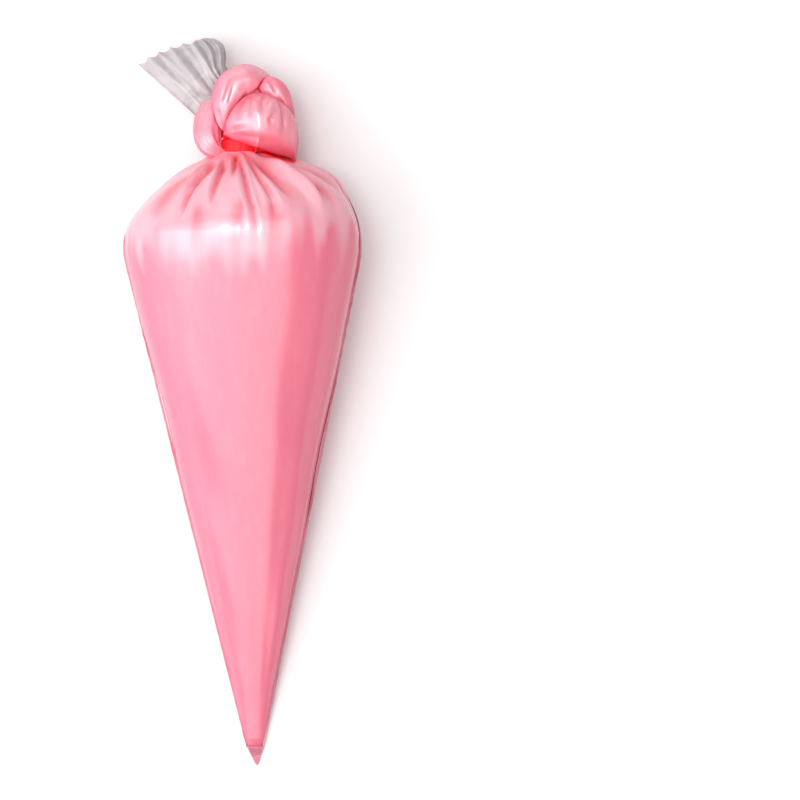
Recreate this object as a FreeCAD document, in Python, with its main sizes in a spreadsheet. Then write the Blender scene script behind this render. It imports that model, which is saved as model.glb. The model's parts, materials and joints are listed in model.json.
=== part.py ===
import FreeCAD, Part

import math
import os

import Sketcher
from FreeCAD import Placement, Rotation, Vector

# A disposable film piping bag, filled with icing and tied off with a knot, lying on its back.
# Frame: millimetres, +Z up from the table, +Y from the sealed tip to the knot, +X to the right.
# Origin: on the table under the middle of the bag's widest place, its girth.

doc = FreeCAD.newDocument("PipingBag")

# ---------------------------------------------------------------- driving dimensions
DIMENSIONS = [
    ("girth_width", 88.5, "widest width of the filled bag"),
    ("girth_height", 66.0, "height of the filled bag above the table at its girth"),
    ("table_dip", 2.0, "how much the round section is pressed flat by the table at the girth"),
    ("cone_length", 194.0, "girth to the end of the icing, at the sealed tip"),
    ("cone_end_width", 5.2, "width of the cone where the tip weld starts"),
    ("cone_end_height", 1.8, "height of the cone where the tip weld starts"),
    ("cone_lean", 4.0, "how far the cone's end lies to the right of the girth's middle"),
    ("tip_length", 6.5, "length of the welded tip"),
    ("tip_end_width", 1.2, "width of the welded tip at its end"),
    ("tip_end_height", 0.5, "thickness of the welded tip at its end"),
    ("shoulder_rise", 35.5, "girth to the middle of the gathered neck, along the bag"),
    ("shoulder_drift", 4.8, "how far the shoulder leans to the right, at most"),
    ("neck_offset", -1.3, "the neck's middle, to the right of the bag's axis"),
    ("neck_level", 17.0, "the neck's middle, above the table"),
    ("neck_radius", 8.0, "radius of the gathered neck"),
    ("lean_gap", 0.4, "room round the neck, for the knot to lean"),
    ("film_wall", 0.2, "thickness of the film"),
    ("weld_width", 1.0, "width of a side weld outside the film"),
    ("wrap_radius", 15.3, "middle radius of the loop that wraps round the neck"),
    ("wrap_thickness", 6.0, "radius of the film rope in the wrapped loop"),
    ("wrap_tilt", 55.0, "tilt of the wrapped loop, down behind the neck, in degrees"),
    ("top_radius", 12.5, "middle radius of the loop over the top of the knot"),
    ("top_thickness", 7.0, "radius of the film rope in the top loop"),
    ("front_width", 25.0, "width of the front bulge of the knot"),
    ("front_length", 22.0, "length of the front bulge of the knot, along the bag"),
    ("front_height", 25.0, "height of the front bulge of the knot"),
    ("knot_icing_radius", 5.0, "radius of the icing caught in the front bulge"),
    ("knot_rise", 9.5, "middle of the wrapped loop past the neck's middle"),
    ("knot_foot", 1.0, "the lowest reach of the knot towards the bag, below the neck's middle"),
    ("tail_root_radius", 3.0, "radius of the gathered film where the tail leaves the knot"),
    ("tail_root_width", 20.0, "width of the tail where it leaves the knot"),
    ("tail_root_gap", 0.3, "room round the tail's root, for the tail to bend"),
    ("tail_long_edge", 24.8, "length of the tail at its left edge"),
    ("tail_short_edge", 11.5, "length of the tail at its right edge"),
    ("tail_mouth_left", 10.5, "the mouth's left corner, from the tail's middle line"),
    ("tail_mouth_right", 17.0, "the mouth's right corner, from the tail's middle line"),
    ("tail_turn", 45.0, "the tail's root line, turned from straight across the bag, in degrees"),
    ("tail_droop", 8.0, "how far the tail points down, in degrees"),
    ("tail_layer_gap", 2.0, "distance between the tail's two layers of film"),
    ("tail_root_fold", 0.9, "height of the tail's folds at its root"),
    ("tail_mouth_fold", 1.7, "height of the tail's folds at its mouth"),
]

sizes = doc.addObject("Spreadsheet::Sheet", "Sizes")
for row, (alias, value, note) in enumerate(DIMENSIONS, 1):
    sizes.set(f"A{row}", note)
    sizes.set(f"B{row}", str(value))
    sizes.setAlias(f"B{row}", alias)
doc.recompute()


def size(alias):
    """The value of one named dimension."""
    return float(sizes.get(alias))


def made(kind, name, bound=None, **properties):
    """A document object with its plain properties set and its bound ones tied to the sheet."""
    item = doc.addObject(kind, name)
    for key, value in properties.items():
        setattr(item, key, value)
    for path, expression in (bound or {}).items():
        item.setExpression(path, expression)
    return item


def cut(name, base, *tools):
    """base with each tool taken away in turn."""
    for number, tool in enumerate(tools):
        last = number == len(tools) - 1
        base = made("Part::Cut", name if last else f"{name}_step{number}", Base=base, Tool=tool)
    return base


def shared(name, base, tool):
    return made("Part::Common", name, Base=base, Tool=tool)


# ---------------------------------------------------------------- the bag's lofted shape
GIRTH_HALF_HEIGHT = "(Sizes.girth_height + Sizes.table_dip) / 2"
GIRTH_LEVEL = "(Sizes.girth_height - Sizes.table_dip) / 2"
UPRIGHT = Rotation(Vector(1, 0, 0), 90)  # a section's plane stands across the bag

# Where the shoulder's sections stand, as a share of the rise from girth to neck, and their size
# as shares of the girth's half width and half height, of the way from the girth's level to the
# neck's, and of the shoulder's drift to the right.
SHOULDER = [
    (0.158, 0.979, 0.985, 0.00, -0.05),
    (0.265, 0.933, 0.942, 0.04, 0.15),
    (0.370, 0.875, 0.885, 0.12, 0.55),
    (0.476, 0.821, 0.830, 0.22, 0.80),
    (0.580, 0.717, 0.730, 0.36, 1.00),
    (0.634, 0.650, 0.660, 0.45, 1.00),
    (0.687, 0.575, 0.580, 0.55, 0.95),
    (0.739, 0.483, 0.485, 0.65, 0.90),
    (0.831, 0.330, 0.330, 0.87, 0.40),
]
NECK_END = (0.887, 9.5, 9.0)  # share of the rise, and the film's half width and height there
CONE_SHARES = [1.0, 0.0]  # the straight cone's two sections, at its end and at the girth
WELDED_SECTIONS = 4  # the side welds run from the first section to this one, past the girth


def stations():
    """The bag's sections from the tip to the neck: bound place along the bag, half width, half
    height, level and sideways place."""
    found = []
    for share in CONE_SHARES:
        near = 1 - share
        half_width = f"Sizes.girth_width / 2 * {near} + Sizes.cone_end_width / 2 * {share}"
        half_height = f"{GIRTH_HALF_HEIGHT} * {near} + Sizes.cone_end_height / 2 * {share}"
        level = f"{GIRTH_LEVEL} * {near} + Sizes.cone_end_height / 2 * 0.95 * {share}"
        side = f"Sizes.cone_lean * {share}"
        found.append((f"-Sizes.cone_length * {share}", half_width, half_height, level, side))
    for rise, wide, high, sink, drift in SHOULDER:
        found.append(
            (
                f"Sizes.shoulder_rise * {rise}",
                f"Sizes.girth_width / 2 * {wide}",
                f"{GIRTH_HALF_HEIGHT} * {high}",
                f"{GIRTH_LEVEL} * {1 - sink} + Sizes.neck_level * {sink}",
                f"Sizes.shoulder_drift * {drift}",
            )
        )
    rise, wide, high = NECK_END
    found.append(
        (
            f"Sizes.shoulder_rise * {rise}",
            f"Sizes.neck_radius * {wide} / 8",
            f"Sizes.neck_radius * {high} / 8",
            "Sizes.neck_level",
            "Sizes.neck_offset",
        )
    )
    return found


def loft(name, sections, grow_width, grow_height):
    """A closed loft through the elliptic sections, each grown by the bound amounts."""
    rings = []
    for number, (along, half_width, half_height, level, side) in enumerate(sections):
        rings.append(
            made(
                "Part::Ellipse",
                f"{name}_section{number}",
                bound={
                    "MajorRadius": f"{half_width} + {grow_width}",
                    "MinorRadius": f"{half_height} + {grow_height}",
                    "Placement.Base.x": side,
                    "Placement.Base.y": along,
                    "Placement.Base.z": level,
                },
                Placement=Placement(Vector(0, 0, 0), UPRIGHT),
            )
        )
    return made("Part::Loft", name, Sections=rings, Solid=True, Ruled=True)


sections = stations()
below_table = made(
    "Part::Box",
    "below_table",
    bound={
        "Length": "Sizes.girth_width * 3",
        "Width": "Sizes.cone_length * 3",
        "Height": "Sizes.girth_height",
        "Placement.Base.x": "-Sizes.girth_width * 1.5",
        "Placement.Base.y": "-Sizes.cone_length * 1.5",
        "Placement.Base.z": "-Sizes.girth_height",
    },
)
below_film = made(
    "Part::Box",
    "below_film",
    bound={
        "Length": "Sizes.girth_width * 3",
        "Width": "Sizes.cone_length * 3",
        "Height": "Sizes.girth_height",
        "Placement.Base.x": "-Sizes.girth_width * 1.5",
        "Placement.Base.y": "-Sizes.cone_length * 1.5",
        "Placement.Base.z": "Sizes.film_wall - Sizes.girth_height",
    },
)
NECK_PLACE = {
    "Placement.Base.x": "Sizes.neck_offset",
    "Placement.Base.y": "Sizes.shoulder_rise",
    "Placement.Base.z": "Sizes.neck_level",
}
neck_room = made(
    "Part::Sphere", "neck_room", bound={"Radius": "Sizes.neck_radius + Sizes.lean_gap", **NECK_PLACE}
)

bag_outside = loft("bag_outside", sections, "0", "0")
bag_inside = loft("bag_inside", sections, "(-Sizes.film_wall)", "(-Sizes.film_wall)")
icing = cut("icing", bag_inside, below_film, neck_room)
bag_body = cut("bag_body", bag_outside, below_table, neck_room)
bag_film = cut("bag_film", bag_body, icing)

# ---------------------------------------------------------------- the two film panels
SIDEWAYS = Rotation(Vector(1, 1, 1), 120)  # a sketch's X along the bag and its Y up


def outline(name, corners):
    """A sketch of straight lines in the bag's upright middle plane, its corners bound."""
    sketch = made("Sketcher::SketchObject", name, Placement=Placement(Vector(0, 0, 0), SIDEWAYS))
    count = len(corners)
    rough = [
        Vector(100 * math.cos(2 * math.pi * i / count), 100 * math.sin(2 * math.pi * i / count), 0)
        for i in range(count)
    ]
    for i in range(count):
        sketch.addGeometry(Part.LineSegment(rough[i], rough[(i + 1) % count]), False)
    for i in range(count):
        sketch.addConstraint(Sketcher.Constraint("Coincident", i, 2, (i + 1) % count, 1))
    for i, (along, up) in enumerate(corners):
        for kind, expression in (("DistanceX", along), ("DistanceY", up)):
            number = sketch.addConstraint(Sketcher.Constraint(kind, -1, 1, i, 1, 1.0))
            sketch.setExpression(f"Constraints[{number}]", expression)
    return sketch


def slab(name, corners):
    """The outline drawn out to both sides, wider than the bag."""
    return made(
        "Part::Extrusion",
        name,
        bound={"LengthFwd": "Sizes.girth_width * 2"},
        Base=outline(f"{name}_outline", corners),
        DirMode="Normal",
        Solid=True,
        Symmetric=True,
    )


seam_line = [(along, level) for along, _, _, level, _ in sections]
seam_line[0] = ("-Sizes.cone_length * 1.01", seam_line[0][1])
seam_line.append(("Sizes.shoulder_rise * 1.5", "Sizes.neck_level"))
above_seam = slab(
    "above_seam",
    seam_line
    + [
        ("Sizes.shoulder_rise * 1.5", "Sizes.girth_height * 1.5"),
        ("-Sizes.cone_length * 1.01", "Sizes.girth_height * 1.5"),
    ],
)
front_film = shared("front_film", bag_film, above_seam)
back_film = cut("back_film", bag_film, above_seam)

# ---------------------------------------------------------------- side welds
weld_line = [(along, level) for along, _, _, level, _ in sections[:WELDED_SECTIONS]]
weld_slab = slab(
    "weld_slab",
    [(along, f"{level} - Sizes.film_wall") for along, level in weld_line]
    + [(along, f"{level} + Sizes.film_wall") for along, level in reversed(weld_line)],
)
weld_reach = loft("weld_reach", sections, "Sizes.weld_width", "0")
weld_band = cut("weld_band", shared("weld_sheet", weld_reach, weld_slab), bag_outside, below_table)
LEAN_ANGLE = "atan(Sizes.cone_lean / Sizes.cone_length)"
right_half = made(
    "Part::Box",
    "right_half",
    bound={
        "Length": "Sizes.girth_width",
        "Width": "Sizes.cone_length * 2",
        "Height": "Sizes.girth_height * 2",
        "Placement.Rotation.Angle": LEAN_ANGLE,
        "Placement.Base.x": f"Sizes.cone_length * 1.5 * sin({LEAN_ANGLE})",
        "Placement.Base.y": f"-Sizes.cone_length * 1.5 * cos({LEAN_ANGLE})",
    },
)
shared("right_side_weld", weld_band, right_half)
cut("left_side_weld", weld_band, right_half)

# ---------------------------------------------------------------- welded tip
along, half_width, half_height, level, side = sections[0]
tip_sections = [
    ("-Sizes.cone_length - Sizes.tip_length", "Sizes.tip_end_width / 2", "Sizes.tip_end_height / 2",
     "Sizes.tip_end_height / 2", side),
    (along, half_width, half_height, level, side),
]
tip_weld = cut("tip_weld", loft("tip_shape", tip_sections, "0", "0"), below_table)

# ---------------------------------------------------------------- gathered neck
neck_film = made("Part::Sphere", "neck_film", bound={"Radius": "Sizes.neck_radius", **NECK_PLACE})

# ---------------------------------------------------------------- knot
# Places in the knot are given from the neck's middle: to the right, along the bag and up.
WRAP_MIDDLE = (2.8, 0.0, 1.0)
WRAP_START, WRAP_SWEEP = 160.0, 230.0
TOP_MIDDLE = (7.3, 1.0, 4.0)
TOP_START, TOP_SWEEP = 60.0, 150.0
FRONT_MIDDLE = (7.3, 1.5, 7.5)
CORE_MIDDLE = (8.0, 0.0, 12.5)


def knot_place(middle):
    """The bound place of a knot piece whose middle is given from the wrapped loop's middle."""
    right, forward, up = middle
    return {
        "Placement.Base.x": f"Sizes.neck_offset + {right}",
        "Placement.Base.y": f"Sizes.shoulder_rise + Sizes.knot_rise + {forward}",
        "Placement.Base.z": f"Sizes.neck_level + {up}",
    }


def rope(name, middle, radius, thickness, turn, start, sweep):
    """An arc of film rope: a part of a ring of the bound radius and thickness."""
    return made(
        "Part::Torus",
        name,
        bound={"Radius1": radius, "Radius2": thickness, **knot_place(middle)},
        Angle3=sweep,
        Placement=Placement(Vector(0, 0, 0), turn.multiply(Rotation(Vector(0, 0, 1), start))),
    )


TAIL_MIDDLE = (-13.2, 9.0, 2.0)


def tail_root(name, radius, length):
    """A round bar on the tail's root line."""
    along = Rotation(Vector(0, 0, 1), size("tail_turn")).multiply(Rotation(Vector(0, 1, 0), 90))
    right, forward, up = TAIL_MIDDLE
    back_x = math.cos(math.radians(size("tail_turn")))
    back_y = math.sin(math.radians(size("tail_turn")))
    return made(
        "Part::Cylinder",
        name,
        bound={
            "Radius": radius,
            "Height": length,
            "Placement.Base.x": f"Sizes.neck_offset + {right} - ({length}) / 2 * {back_x}",
            "Placement.Base.y": (
                f"Sizes.shoulder_rise + Sizes.knot_rise + {forward} - ({length}) / 2 * {back_y}"
            ),
            "Placement.Base.z": f"Sizes.neck_level + {up}",
        },
        Placement=Placement(Vector(0, 0, 0), along),
    )


bag_side = made(
    "Part::Box",
    "bag_side",
    bound={
        "Length": "Sizes.girth_width * 2",
        "Width": "Sizes.cone_length",
        "Height": "Sizes.girth_height * 2",
        "Placement.Base.x": "-Sizes.girth_width",
        "Placement.Base.y": "Sizes.shoulder_rise - Sizes.knot_foot - Sizes.cone_length",
        "Placement.Base.z": "-Sizes.girth_height / 2",
    },
)
root_room = tail_root(
    "root_room",
    "(Sizes.tail_root_radius + Sizes.tail_root_gap)",
    "(Sizes.tail_root_width + 2 * Sizes.tail_root_gap)",
)
kept_clear = (bag_side, below_table, neck_room, root_room)
wrap = rope("wrap_rope", WRAP_MIDDLE, "Sizes.wrap_radius", "Sizes.wrap_thickness",
            Rotation(Vector(1, 0, 0), size("wrap_tilt")), WRAP_START, WRAP_SWEEP)
top = rope("top_rope", TOP_MIDDLE, "Sizes.top_radius", "Sizes.top_thickness",
           Rotation(), TOP_START, TOP_SWEEP)
front = made(
    "Part::Ellipsoid",
    "front_bulge",
    bound={
        "Radius1": "Sizes.front_height / 2",
        "Radius2": "Sizes.front_width / 2",
        "Radius3": "Sizes.front_length / 2",
        **knot_place(FRONT_MIDDLE),
    },
)
knot_icing = made(
    "Part::Sphere", "knot_icing", bound={"Radius": "Sizes.knot_icing_radius", **knot_place(CORE_MIDDLE)}
)
cut("knot_wrap_film", wrap, *kept_clear)
cut("knot_top_film", top, wrap, *kept_clear)
cut("knot_front_film", front, wrap, top, knot_icing, *kept_clear)

# ---------------------------------------------------------------- tail
gather = tail_root("tail_root_film", "Sizes.tail_root_radius", "Sizes.tail_root_width")
doc.recompute()

FOLDS = 5
TAIL_START = 1.5  # the layers start inside the root, and are cut back to its surface


def folded_line(left, right, fold, height):
    """A wavy line between two points of the tail's own plane, at a height above that plane."""
    points = []
    for i in range(2 * FOLDS + 1):
        share = i / (2 * FOLDS)
        point = left + (right - left) * share
        points.append(point + Vector(0, 0, height + fold * (1 if i % 2 else -1)))
    curve = Part.BSplineCurve()
    curve.interpolate(points)
    return curve.toShape()


def strip(left, right, fold, height, wall):
    """The closed outline of one layer of film along a wavy line."""
    low = folded_line(left, right, fold, height - wall / 2)
    high = folded_line(left, right, fold, height + wall / 2)
    ends = [(low.Vertexes[k].Point, high.Vertexes[k].Point) for k in (0, -1)]
    sides = [Part.makeLine(a, b) for a, b in ends]
    return Part.Wire(Part.__sortEdges__([low, sides[1], high, sides[0]]))


def tail_layer(name, height):
    """One layer of the tail: folded film from the root to the mouth, in the row frame."""
    half = size("tail_root_width") / 2
    wall = size("film_wall")
    root = strip(
        Vector(-half, TAIL_START, 0), Vector(half, TAIL_START, 0), size("tail_root_fold"), height, wall
    )
    mouth = strip(
        Vector(-size("tail_mouth_left"), size("tail_long_edge"), 0),
        Vector(size("tail_mouth_right"), size("tail_short_edge"), 0),
        size("tail_mouth_fold"),
        height,
        wall,
    )
    sheet = Part.makeLoft([root, mouth], True, True)
    turn = Rotation(Vector(0, 0, 1), size("tail_turn")).multiply(
        Rotation(Vector(1, 0, 0), -size("tail_droop"))
    )
    right, forward, up = TAIL_MIDDLE
    middle = Vector(
        size("neck_offset") + right,
        size("shoulder_rise") + size("knot_rise") + forward,
        size("neck_level") + up,
    )
    sheet.Placement = Placement(middle, turn)
    item = doc.addObject("Part::Feature", name)
    item.Shape = sheet.cut(gather.Shape)
    return item


tail_layer("tail_front_film", size("tail_layer_gap") / 2)
tail_layer("tail_back_film", -size("tail_layer_gap") / 2)

# ---------------------------------------------------------------- check and write
NODES = [
    "front_film",
    "back_film",
    "left_side_weld",
    "right_side_weld",
    "tip_weld",
    "icing",
    "neck_film",
    "knot_wrap_film",
    "knot_top_film",
    "knot_front_film",
    "knot_icing",
    "tail_root_film",
    "tail_front_film",
    "tail_back_film",
]

doc.recompute()
for item in doc.Objects:
    if "Invalid" in item.State or "Error" in item.State:
        raise RuntimeError(f"{item.Name} failed: {item.State}")
os.makedirs("parts", exist_ok=True)
for name in NODES:
    item = doc.getObject(name)
    item.Label = name
    shape = item.Shape
    if shape.isNull() or not shape.isValid() or not shape.Solids:
        raise RuntimeError(f"{name} has no valid solid")
    shape.exportStep(f"parts/{name}.step")
    box = shape.BoundBox
    print(
        f"{name}: {len(shape.Solids)} solids, {shape.Volume:.1f} mm3, "
        f"X {box.XMin:.1f}..{box.XMax:.1f} Y {box.YMin:.1f}..{box.YMax:.1f} Z {box.ZMin:.1f}..{box.ZMax:.1f}"
    )
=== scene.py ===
import json
import math

import bpy
import numpy as np
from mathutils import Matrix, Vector


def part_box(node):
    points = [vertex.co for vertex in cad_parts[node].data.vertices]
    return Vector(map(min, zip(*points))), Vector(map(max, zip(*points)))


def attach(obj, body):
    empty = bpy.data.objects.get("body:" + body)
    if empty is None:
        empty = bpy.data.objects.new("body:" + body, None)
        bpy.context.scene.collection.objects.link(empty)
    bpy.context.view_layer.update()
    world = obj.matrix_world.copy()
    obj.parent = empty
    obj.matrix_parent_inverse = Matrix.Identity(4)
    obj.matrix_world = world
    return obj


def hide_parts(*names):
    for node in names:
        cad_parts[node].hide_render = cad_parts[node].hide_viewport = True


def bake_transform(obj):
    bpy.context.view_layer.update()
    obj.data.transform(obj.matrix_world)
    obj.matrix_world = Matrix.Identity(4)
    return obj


# A film piping bag full of pink icing, tied off with an overhand knot and lying flat.
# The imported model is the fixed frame: metres, Z up, Y from the sealed tip to the knot.

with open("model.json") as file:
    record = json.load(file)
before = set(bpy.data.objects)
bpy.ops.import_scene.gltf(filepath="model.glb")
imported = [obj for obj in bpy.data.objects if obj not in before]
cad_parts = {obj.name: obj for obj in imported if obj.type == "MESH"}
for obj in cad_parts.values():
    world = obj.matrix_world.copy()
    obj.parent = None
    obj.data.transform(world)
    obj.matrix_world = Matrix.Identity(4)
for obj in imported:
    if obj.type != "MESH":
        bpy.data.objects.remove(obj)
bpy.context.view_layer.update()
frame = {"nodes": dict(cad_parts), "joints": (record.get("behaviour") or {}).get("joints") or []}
mm = 0.001
joints = {joint["name"]: joint for joint in frame["joints"]}
neckPlace = np.array(joints["neck_lift"]["pos_m"])
tailPlace = np.array(joints["tail_bend"]["pos_m"])
tailAxis = np.array(joints["tail_bend"]["axis"])
print("frame loaded:", len(frame["nodes"]), "nodes")


def smoothThrough(places, values, at):
    # a cubic between neighbouring values, its slope at each the harmonic mean of the slopes
    # on either side, so that it never swings past a value
    places, values = np.asarray(places, float), np.asarray(values, float)
    values = values.reshape(len(places), -1)
    step = np.diff(places)[:, None]
    slope = np.diff(values, axis=0) / step
    before, after = slope[:-1], slope[1:]
    same = before * after > 0
    inner = np.where(same, 2 * before * after / np.where(same, before + after, 1), 0)
    tangent = np.vstack([slope[:1], inner, slope[-1:]])
    at = np.asarray(at, float)
    k = np.clip(np.searchsorted(places, at) - 1, 0, len(places) - 2)
    t = ((at - places[k]) / step[k, 0])[:, None]
    found = (
        values[k] * (1 + 2 * t) * (1 - t) ** 2
        + values[k + 1] * (3 - 2 * t) * t**2
        + tangent[k] * step[k] * t * (1 - t) ** 2
        - tangent[k + 1] * step[k] * t**2 * (1 - t)
    )
    return found[:, 0] if found.shape[1] == 1 else found


def easing(low, high, x):
    # 0 below low, 1 above high and a smooth S between them
    t = np.clip((x - low) / (high - low), 0, 1)
    return t * t * (3 - 2 * t)


def waves(x, seed, count, slowest, fastest):
    # a sum of cosines with random speeds and phases, about -1 to 1
    draw = np.random.default_rng(seed)
    speeds = draw.uniform(slowest, fastest, count)
    phases = draw.uniform(0, 2 * math.pi, count)
    return sum(np.cos(speed * x + phase) for speed, phase in zip(speeds, phases)) / math.sqrt(count)


def smoothLine(places, samples=24):
    # a smooth line in plan through set places, given in mm
    places = np.array(places, float) * mm
    chord = np.append(0, np.cumsum(np.linalg.norm(np.diff(places, axis=0), axis=1)))
    return smoothThrough(chord / chord[-1], places, np.linspace(0, 1, samples))


def lineDistance(points, line):
    # in plan: the least distance from each point to a line, the side on which the point lies,
    # 1 on the right going along it, and how far along it the nearest place is, from 0 to 1
    place = points[..., :2]
    best = np.full(place.shape[:-1], 1.0)
    side, along = np.zeros_like(best), np.zeros_like(best)
    steps = np.diff(line, axis=0)
    lengths = np.linalg.norm(steps, axis=1)
    before = np.cumsum(lengths) - lengths
    for start, step, length, done in zip(line[:-1], steps, lengths, before):
        offset = place - start
        share = np.clip(offset @ step / length**2, 0, 1)
        distance = np.linalg.norm(offset - share[..., None] * step, axis=-1)
        nearer = distance < best
        side = np.where(nearer, np.sign(step[1] * offset[..., 0] - step[0] * offset[..., 1]), side)
        along = np.where(nearer, (done + share * length) / lengths.sum(), along)
        best = np.minimum(best, distance)
    return best, side, along


def drawnFolds(points, folds, origin=(0.0, 0.0)):
    # valleys along drawn lines, from fold rows: the line's places, the valley's depth, its half
    # width at the start and at the end, how sharp it is, and its steep side; a negative depth is a
    # ridge. The second result is how deep in a valley a point is, from 0 to 1, and below 0 on a
    # ridge. A valley is the sum of exp(-ratio), as much of it as it is sharp, and exp(-ratio^2)
    depth, shade = np.zeros(points.shape[:-1]), np.zeros(points.shape[:-1])
    for places, deep, startWidth, endWidth, sharp, steepSide in folds:
        distance, side, along = lineDistance(points, smoothLine(places) + np.array(origin))
        ratio = distance / (mm * (startWidth + (endWidth - startWidth) * along))
        ratio *= np.where(side * steepSide > 0, 1.4, 0.8)
        valley = sharp * np.exp(-ratio) + (1 - sharp) * np.exp(-(ratio**2))
        strength = easing(0.0, 0.22, along) * (1 - easing(0.5, 1.0, along))
        depth += deep * mm * strength * (valley - 0.28 * np.exp(-((ratio - 2.0) ** 2)))
        if deep > 0:
            shade = np.maximum(shade, valley * strength)
        else:
            shade = shade - valley * strength
    return depth, shade


def gridNormals(points, closed):
    # the outward direction of a surface whose rows go along it and whose columns go round it,
    # anticlockwise as seen from the end of the last row
    around = (
        (np.roll(points, -1, 1) - np.roll(points, 1, 1)) if closed else np.gradient(points, axis=1)
    )
    along = np.gradient(points, axis=0)
    normal = np.cross(along, around)
    return normal / np.maximum(np.linalg.norm(normal, axis=2, keepdims=True), 1e-12)


def meshPiece(name, points, closed=False, startCap=False, endCap=False, flip=False, **values):
    # a mesh of quads between neighbouring points of a grid; a cap is a fan about a row's middle,
    # and each further value becomes an attribute of the mesh's points
    rows, columns = points.shape[:2]
    index = np.arange(rows * columns).reshape(rows, columns)
    if closed:
        index = np.hstack([index, index[:, :1]])
    quads = np.stack([index[:-1, :-1], index[1:, :-1], index[1:, 1:], index[:-1, 1:]], -1)
    quads = quads.reshape(-1, 4)
    places = points.reshape(-1, 3)
    values = {key: np.broadcast_to(value, (rows, columns)).ravel() for key, value in values.items()}
    fans = []
    for capped, row, turned in ((startCap, 0, False), (endCap, -1, True)):
        if capped:
            ring, middle = index[row], len(places)
            places = np.vstack([places, points[row].mean(0)])
            for key, value in values.items():
                values[key] = np.append(value, value.reshape(-1)[ring[0]])
            fan = np.stack([ring[:-1], ring[1:], np.full(len(ring) - 1, middle)], -1)
            fans.append(fan[:, ::-1] if turned else fan)
    if flip:
        quads, fans = quads[:, ::-1], [fan[:, ::-1] for fan in fans]
    corners = np.concatenate([quads.ravel()] + [fan.ravel() for fan in fans])
    sizes = np.concatenate([np.full(len(quads), 4)] + [np.full(len(fan), 3) for fan in fans])
    mesh = bpy.data.meshes.new(name)
    mesh.vertices.add(len(places))
    mesh.vertices.foreach_set("co", places.astype(np.float32).ravel())
    mesh.loops.add(len(corners))
    mesh.loops.foreach_set("vertex_index", corners.astype(np.int32))
    mesh.polygons.add(len(sizes))
    mesh.polygons.foreach_set("loop_start", (np.cumsum(sizes) - sizes).astype(np.int32))
    mesh.polygons.foreach_set("use_smooth", np.ones(len(sizes), bool))
    mesh.update(calc_edges=True)
    for key, value in values.items():
        layer = mesh.attributes.new(key, "FLOAT", "POINT")
        layer.data.foreach_set("value", value.astype(np.float32))
    piece = bpy.data.objects.new(name, mesh)
    bpy.context.scene.collection.objects.link(piece)
    return piece


def finishPiece(piece, material, slot, body, *nodes):
    # material, record slot (not used), CAD body and the CAD nodes that the piece stands for
    piece.data.materials.append(material)
    if body:
        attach(piece, body)
    if nodes:
        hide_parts(*nodes)
    return piece


def applyThickness(piece, thickness):
    # gives an open surface a wall on its inner side, and keeps it as plain mesh
    wall = piece.modifiers.new("wall", "SOLIDIFY")
    wall.thickness = thickness
    wall.offset = -1
    bpy.context.view_layer.objects.active = piece
    bpy.ops.object.select_all(action="DESELECT")
    piece.select_set(True)
    bpy.ops.object.modifier_apply(modifier=wall.name)


def newGroup(name, inputs, outputs):
    group = bpy.data.node_groups.new(name, "ShaderNodeTree")
    for label, kind, value in inputs:
        socket = group.interface.new_socket(label, in_out="INPUT", socket_type=kind)
        if value is not None:
            socket.default_value = value
    for label, kind in outputs:
        group.interface.new_socket(label, in_out="OUTPUT", socket_type=kind)
    return group, group.nodes.new("NodeGroupInput"), group.nodes.new("NodeGroupOutput")


def node(tree, kind, **settings):
    made = tree.nodes.new(kind)
    for key, value in settings.items():
        if key.startswith("in_"):
            made.inputs[key[3:].replace("_", " ")].default_value = value
        else:
            setattr(made, key, value)
    return made


def maths(tree, operation, first, second=0.0, clamp=False):
    made = node(tree, "ShaderNodeMath", operation=operation, use_clamp=clamp)
    for socket, value in zip(made.inputs, (first, second)):
        if isinstance(value, bpy.types.NodeSocket):
            tree.links.new(value, socket)
        else:
            socket.default_value = value
    return made.outputs[0]


def blended(tree, share, first, second):
    made = node(tree, "ShaderNodeMix", data_type="RGBA")
    sockets = made.inputs[0], made.inputs[6], made.inputs[7]
    for socket, value in zip(sockets, (share, first, second)):
        if isinstance(value, bpy.types.NodeSocket):
            tree.links.new(value, socket)
        else:
            socket.default_value = value
    return made.outputs[2]


def newMaterial(name):
    material = bpy.data.materials.new(name)
    material.use_nodes = True
    tree = material.node_tree
    return material, tree, tree.nodes["Principled BSDF"]


def streakGroup():
    # noise drawn out along the bag, as smeared icing and stretched film are, from 0 to 1
    group, source, target = newGroup(
        "drawnStreaks",
        [("Width", "NodeSocketFloat", 400.0), ("Length", "NodeSocketFloat", 30.0)],
        [("Streaks", "NodeSocketFloat")],
    )
    place = node(group, "ShaderNodeTexCoord")
    scale = node(group, "ShaderNodeCombineXYZ")
    stretched = node(group, "ShaderNodeVectorMath", operation="MULTIPLY")
    noise = node(group, "ShaderNodeTexNoise", in_Scale=1.0, in_Detail=4.0, in_Roughness=0.55)
    for end in ("X", "Z"):
        group.links.new(source.outputs["Width"], scale.inputs[end])
    group.links.new(source.outputs["Length"], scale.inputs["Y"])
    group.links.new(place.outputs["Object"], stretched.inputs[0])
    group.links.new(scale.outputs[0], stretched.inputs[1])
    group.links.new(stretched.outputs[0], noise.inputs["Vector"])
    group.links.new(noise.outputs["Fac"], target.inputs["Streaks"])
    return group


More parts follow.
